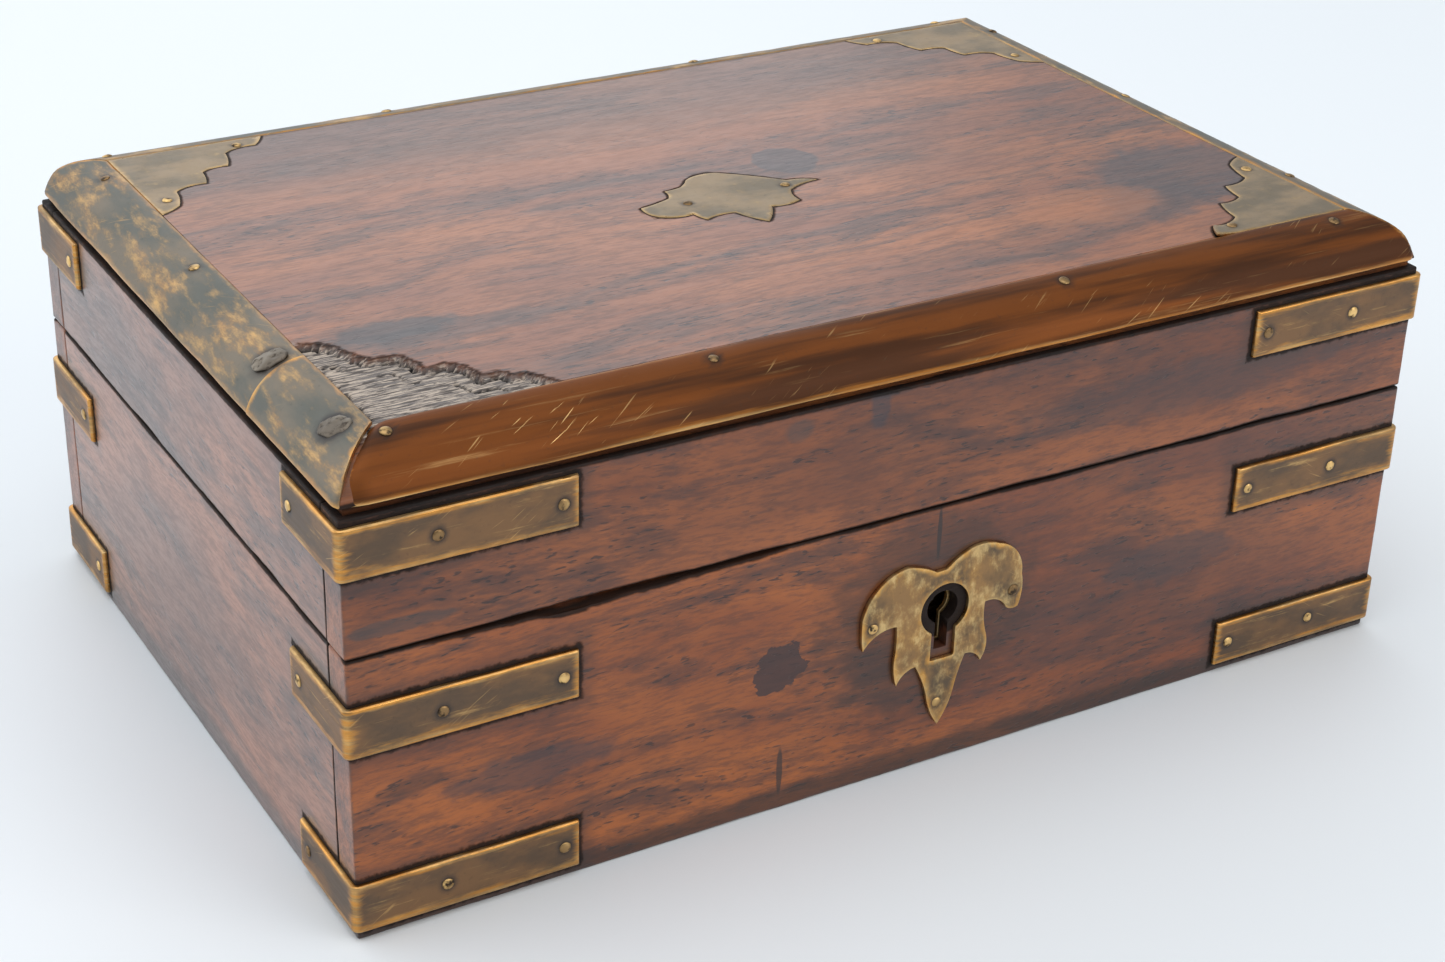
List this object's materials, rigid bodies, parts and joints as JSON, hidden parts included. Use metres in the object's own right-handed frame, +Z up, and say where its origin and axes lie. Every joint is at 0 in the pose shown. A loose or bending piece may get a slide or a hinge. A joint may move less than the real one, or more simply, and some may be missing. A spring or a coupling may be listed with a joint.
{
  "type": "tea caddy",
  "caption": "Brass-bound wooden tea caddy with a hinged lid, rounded brass lid edges, corner straps, leaf-shaped keyhole plate, box lock and lidded tea compartments.",
  "frame": {"origin": "middle of the underside, on the table", "axes": "+X along the box to the right as seen from the front, -Y is the front with the keyhole, +Z up"},
  "size_m": [0.2508, 0.1727, 0.1004],
  "materials": {
    "base_wood": "waxed, worn",
    "lid_wood": "waxed, worn",
    "top_wood": "waxed, worn",
    "bottom_wood": "bare",
    "inner_wood": "satin",
    "brass_strap": "aged, rubbed bright at the edges",
    "brass_edge": "dark lacquer with bright scratches",
    "brass_plate": "dull, khaki",
    "brass_nail": "worn bright",
    "iron_nail": "dull grey",
    "lock_brass": "tarnished",
    "lock_steel": "oiled",
    "hinge_brass": "tarnished",
    "steel_screw": "dull",
    "knob_brass": "satin"
  },
  "bodies": {
    "base": {"base_front_board": "base_wood", "base_back_board": "base_wood", "base_left_board": "base_wood", "base_right_board": "base_wood", "base_bottom_board": "bottom_wood", "divider_left": "inner_wood", "divider_right": "inner_wood", "compartment_ledges": "inner_wood", "base_strap_front_left_upper": "brass_strap", "base_strap_front_right_upper": "brass_strap", "base_strap_back_left_upper": "brass_strap", "base_strap_back_right_upper": "brass_strap", "base_strap_front_left_lower": "brass_strap", "base_strap_front_right_lower": "brass_strap", "base_strap_back_left_lower": "brass_strap", "base_strap_back_right_lower": "brass_strap", "base_strap_nails": "brass_nail", "escutcheon": "brass_plate", "escutcheon_nails": "brass_nail", "lock_case": "lock_brass", "lock_back_plate": "lock_brass", "lock_key_pin": "lock_steel", "lock_spring": "lock_steel", "lock_screws": "steel_screw", "hinge_base_leaf_left": "hinge_brass", "hinge_base_leaf_right": "hinge_brass", "hinge_pins": "hinge_brass", "hinge_base_screws": "steel_screw"},
    "lid": {"lid_front_rail": "lid_wood", "lid_back_rail": "lid_wood", "lid_left_rail": "lid_wood", "lid_right_rail": "lid_wood", "lid_top_board": "top_wood", "lid_edge_front_strip": "brass_edge", "lid_edge_back_strip": "brass_edge", "lid_edge_left_strip": "brass_edge", "lid_edge_right_strip": "brass_edge", "lid_edge_corner_strip": "brass_edge", "lid_top_nails": "brass_nail", "lid_iron_nails": "iron_nail", "corner_plate_back_left": "brass_plate", "corner_plate_back_right": "brass_plate", "corner_plate_front_right": "brass_plate", "lid_medallion": "brass_plate", "lid_strap_front_left": "brass_strap", "lid_strap_front_right": "brass_strap", "lid_strap_back_left": "brass_strap", "lid_strap_back_right": "brass_strap", "lid_strap_nails": "brass_nail", "lock_link_plate": "lock_brass", "link_screws": "steel_screw", "hinge_lid_leaf_left": "hinge_brass", "hinge_lid_leaf_right": "hinge_brass", "hinge_lid_screws": "steel_screw"},
    "bolt": {"lock_bolt": "lock_steel"},
    "left_inner_lid": {"inner_lid_left": "inner_wood", "inner_knob_left": "knob_brass"},
    "right_inner_lid": {"inner_lid_right": "inner_wood", "inner_knob_right": "knob_brass"}
  },
  "joints": [
    {"name": "lid_hinge", "type": "hinge", "parent": "base", "child": "lid", "pos_m": [0, 0.0858, 0.06065], "axis": [-1, 0, 0], "range_deg": [0, 100]},
    {"name": "lock_bolt_slide", "type": "slide", "parent": "base", "child": "bolt", "axis": [1, 0, 0], "range_m": [0, 0.0045]},
    {"name": "left_inner_lid_lift", "type": "slide", "parent": "base", "child": "left_inner_lid", "axis": [0, 0, 1], "range_m": [0, 0.025]},
    {"name": "right_inner_lid_lift", "type": "slide", "parent": "base", "child": "right_inner_lid", "axis": [0, 0, 1], "range_m": [0, 0.025]}
  ]
}
